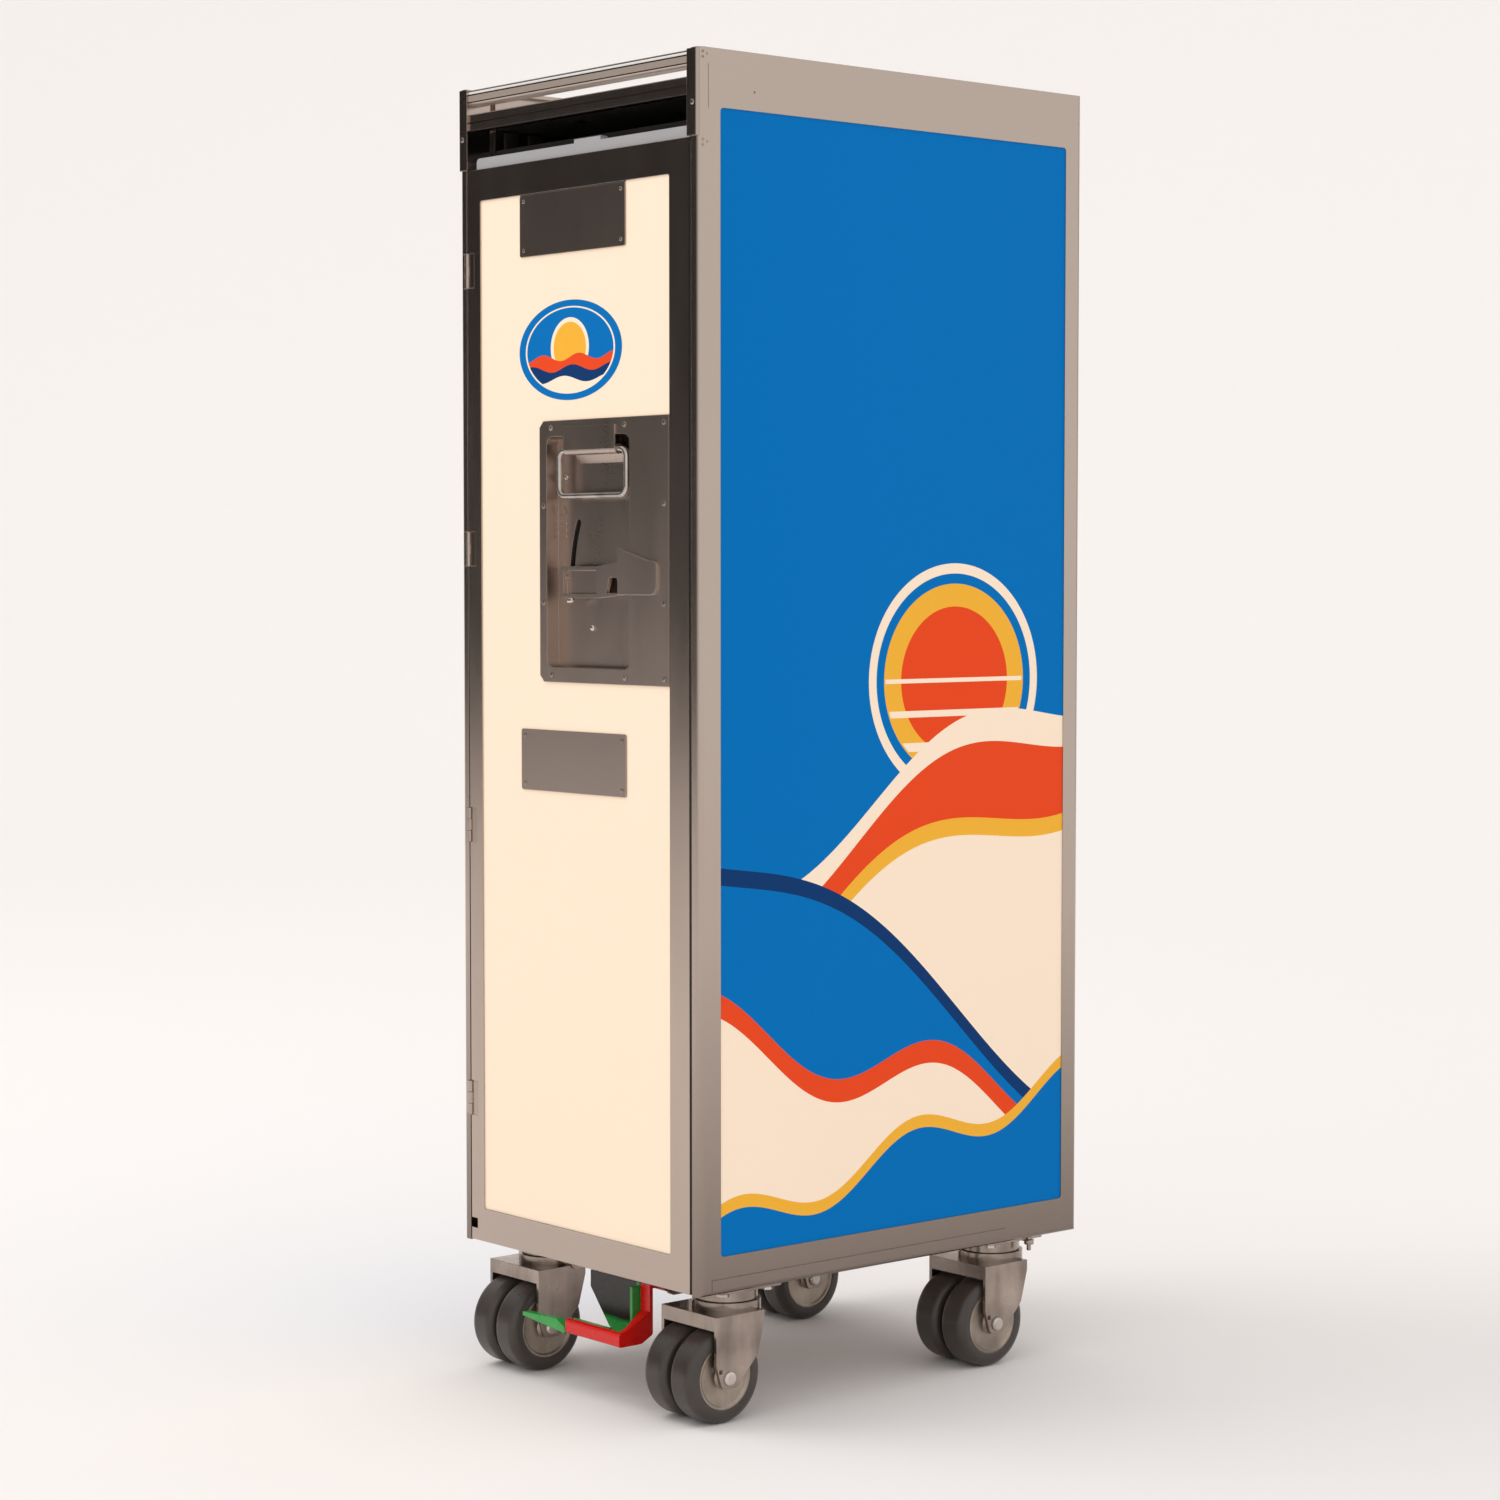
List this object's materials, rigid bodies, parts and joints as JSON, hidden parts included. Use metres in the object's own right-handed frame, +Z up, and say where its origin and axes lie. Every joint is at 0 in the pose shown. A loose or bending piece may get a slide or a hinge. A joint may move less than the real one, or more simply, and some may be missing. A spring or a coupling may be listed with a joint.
{
  "type": "airline galley cart",
  "caption": "Half-size galley cart: narrow sandwich-panel box on twin-wheel swivel casters, hinged door with recessed latch, tray runners, top bars and foot brake.",
  "frame": {"origin": "on the floor, under the middle of the cart", "axes": "+Z up, door faces -Y, hinges on the -X side"},
  "size_m": [0.302, 0.405, 1.03],
  "materials": {
    "satin_metal": "satin anodised",
    "bracket_metal": "satin",
    "panel_blue": "smooth satin film",
    "panel_cream": "smooth satin film",
    "lining_metal": "mill",
    "silver_trim": "bright anodised",
    "pan_metal": "satin",
    "bright_steel": "polished",
    "fork_steel": "zinc plated",
    "hub_plastic": "moulded",
    "tyre_rubber": "matte",
    "pedal_red": "gloss",
    "pedal_green": "gloss",
    "gasket_rubber": "matte",
    "core_foam": "foam"
  },
  "bodies": {
    "cart_body": {"side_wall_left": "satin_metal", "side_wall_right": "satin_metal", "side_panel_left": "panel_blue", "side_panel_right": "panel_blue", "runner_wall_left": "lining_metal", "runner_wall_right": "lining_metal", "rear_wall": "satin_metal", "base_board": "satin_metal", "ceiling_shelf": "lining_metal", "top_tray": "lining_metal", "top_fascia": "satin_metal", "handle_bars": "satin_metal", "handle_brackets": "bracket_metal", "bracket_rivets": "bracket_metal", "hinge_leaves_body": "bracket_metal", "hinge_pins": "bracket_metal", "caster_plates": "fork_steel", "caster_bolts": "bright_steel", "brake_brackets": "fork_steel", "brake_shaft": "bright_steel"},
    "door": {"door_frame": "satin_metal", "door_panel": "panel_cream", "door_core": "core_foam", "door_liner": "lining_metal", "door_top_rail": "silver_trim", "door_gasket": "gasket_rubber", "card_plates": "pan_metal", "latch_pan": "pan_metal", "door_screws": "silver_trim", "bail_clip": "silver_trim", "hinge_leaves_door": "bracket_metal"},
    "latch_lever": {"latch_lever": "pan_metal"},
    "latch_bolt": {"latch_bolt": "bright_steel"},
    "bail_handle": {"bail_handle": "bright_steel"},
    "brake_pedal_red": {"brake_pedal_red": "pedal_red"},
    "brake_pedal_green": {"brake_pedal_green": "pedal_green"},
    "swivel_fl": {"caster_fork_fl": "fork_steel", "caster_axle_fl": "bright_steel"},
    "wheel_fl_a": {"wheel_hub_fl_a": "hub_plastic", "wheel_tyre_fl_a": "tyre_rubber"},
    "wheel_fl_b": {"wheel_hub_fl_b": "hub_plastic", "wheel_tyre_fl_b": "tyre_rubber"},
    "swivel_fr": {"caster_fork_fr": "fork_steel", "caster_axle_fr": "bright_steel"},
    "wheel_fr_a": {"wheel_hub_fr_a": "hub_plastic", "wheel_tyre_fr_a": "tyre_rubber"},
    "wheel_fr_b": {"wheel_hub_fr_b": "hub_plastic", "wheel_tyre_fr_b": "tyre_rubber"},
    "swivel_rl": {"caster_fork_rl": "fork_steel", "caster_axle_rl": "bright_steel"},
    "wheel_rl_a": {"wheel_hub_rl_a": "hub_plastic", "wheel_tyre_rl_a": "tyre_rubber"},
    "wheel_rl_b": {"wheel_hub_rl_b": "hub_plastic", "wheel_tyre_rl_b": "tyre_rubber"},
    "swivel_rr": {"caster_fork_rr": "fork_steel", "caster_axle_rr": "bright_steel"},
    "wheel_rr_a": {"wheel_hub_rr_a": "hub_plastic", "wheel_tyre_rr_a": "tyre_rubber"},
    "wheel_rr_b": {"wheel_hub_rr_b": "hub_plastic", "wheel_tyre_rr_b": "tyre_rubber"}
  },
  "joints": [
    {"name": "door_swing", "type": "hinge", "parent": "cart_body", "child": "door", "pos_m": [-0.1406, -0.2003, 0.55], "axis": [0, 0, -1], "range_deg": [0, 175]},
    {"name": "lever_lift", "type": "hinge", "parent": "door", "child": "latch_lever", "pos_m": [0.094, -0.1974, 0.641], "axis": [0, 1, 0], "range_deg": [0, 22]},
    {"name": "bolt_slide", "type": "slide", "parent": "door", "child": "latch_bolt", "axis": [-1, 0, 0], "range_m": [0, 0.0067]},
    {"name": "bail_swing", "type": "hinge", "parent": "door", "child": "bail_handle", "pos_m": [0.019, -0.1975, 0.739], "axis": [-1, 0, 0], "range_deg": [0, 90]},
    {"name": "brake_press", "type": "hinge", "parent": "cart_body", "child": "brake_pedal_red", "pos_m": [0.044, -0.15, 0.092], "axis": [1, 0, 0], "range_deg": [0, 7]},
    {"name": "brake_release", "type": "hinge", "parent": "cart_body", "child": "brake_pedal_green", "pos_m": [0.004, -0.15, 0.092], "axis": [1, 0, 0], "range_deg": [-7.1, 0]},
    {"name": "swivel_fl_turn", "type": "hinge", "parent": "cart_body", "child": "swivel_fl", "pos_m": [-0.1116, -0.1416, 0.09], "axis": [0, 0, 1], "continuous": true},
    {"name": "wheel_fl_a_spin", "type": "hinge", "parent": "swivel_fl", "child": "wheel_fl_a", "pos_m": [-0.1269, -0.1662, 0.0362], "axis": [1, 0, 0], "continuous": true},
    {"name": "wheel_fl_b_spin", "type": "hinge", "parent": "swivel_fl", "child": "wheel_fl_b", "pos_m": [-0.0963, -0.1662, 0.0362], "axis": [1, 0, 0], "continuous": true},
    {"name": "swivel_fr_turn", "type": "hinge", "parent": "cart_body", "child": "swivel_fr", "pos_m": [0.1116, -0.1416, 0.09], "axis": [0, 0, 1], "continuous": true},
    {"name": "wheel_fr_a_spin", "type": "hinge", "parent": "swivel_fr", "child": "wheel_fr_a", "pos_m": [0.0963, -0.1662, 0.0362], "axis": [1, 0, 0], "continuous": true},
    {"name": "wheel_fr_b_spin", "type": "hinge", "parent": "swivel_fr", "child": "wheel_fr_b", "pos_m": [0.1269, -0.1662, 0.0362], "axis": [1, 0, 0], "continuous": true},
    {"name": "swivel_rl_turn", "type": "hinge", "parent": "cart_body", "child": "swivel_rl", "pos_m": [-0.1116, 0.1416, 0.09], "axis": [0, 0, 1], "continuous": true},
    {"name": "wheel_rl_a_spin", "type": "hinge", "parent": "swivel_rl", "child": "wheel_rl_a", "pos_m": [-0.1269, 0.117, 0.0362], "axis": [1, 0, 0], "continuous": true},
    {"name": "wheel_rl_b_spin", "type": "hinge", "parent": "swivel_rl", "child": "wheel_rl_b", "pos_m": [-0.0963, 0.117, 0.0362], "axis": [1, 0, 0], "continuous": true},
    {"name": "swivel_rr_turn", "type": "hinge", "parent": "cart_body", "child": "swivel_rr", "pos_m": [0.1116, 0.1416, 0.09], "axis": [0, 0, 1], "continuous": true},
    {"name": "wheel_rr_a_spin", "type": "hinge", "parent": "swivel_rr", "child": "wheel_rr_a", "pos_m": [0.0963, 0.117, 0.0362], "axis": [1, 0, 0], "continuous": true},
    {"name": "wheel_rr_b_spin", "type": "hinge", "parent": "swivel_rr", "child": "wheel_rr_b", "pos_m": [0.1269, 0.117, 0.0362], "axis": [1, 0, 0], "continuous": true}
  ],
  "couplings": [
    {"joint": "bolt_slide", "follows": "lever_lift", "m_per_rad": 0.0169},
    {"joint": "brake_release", "follows": "brake_press", "ratio": -1}
  ]
}
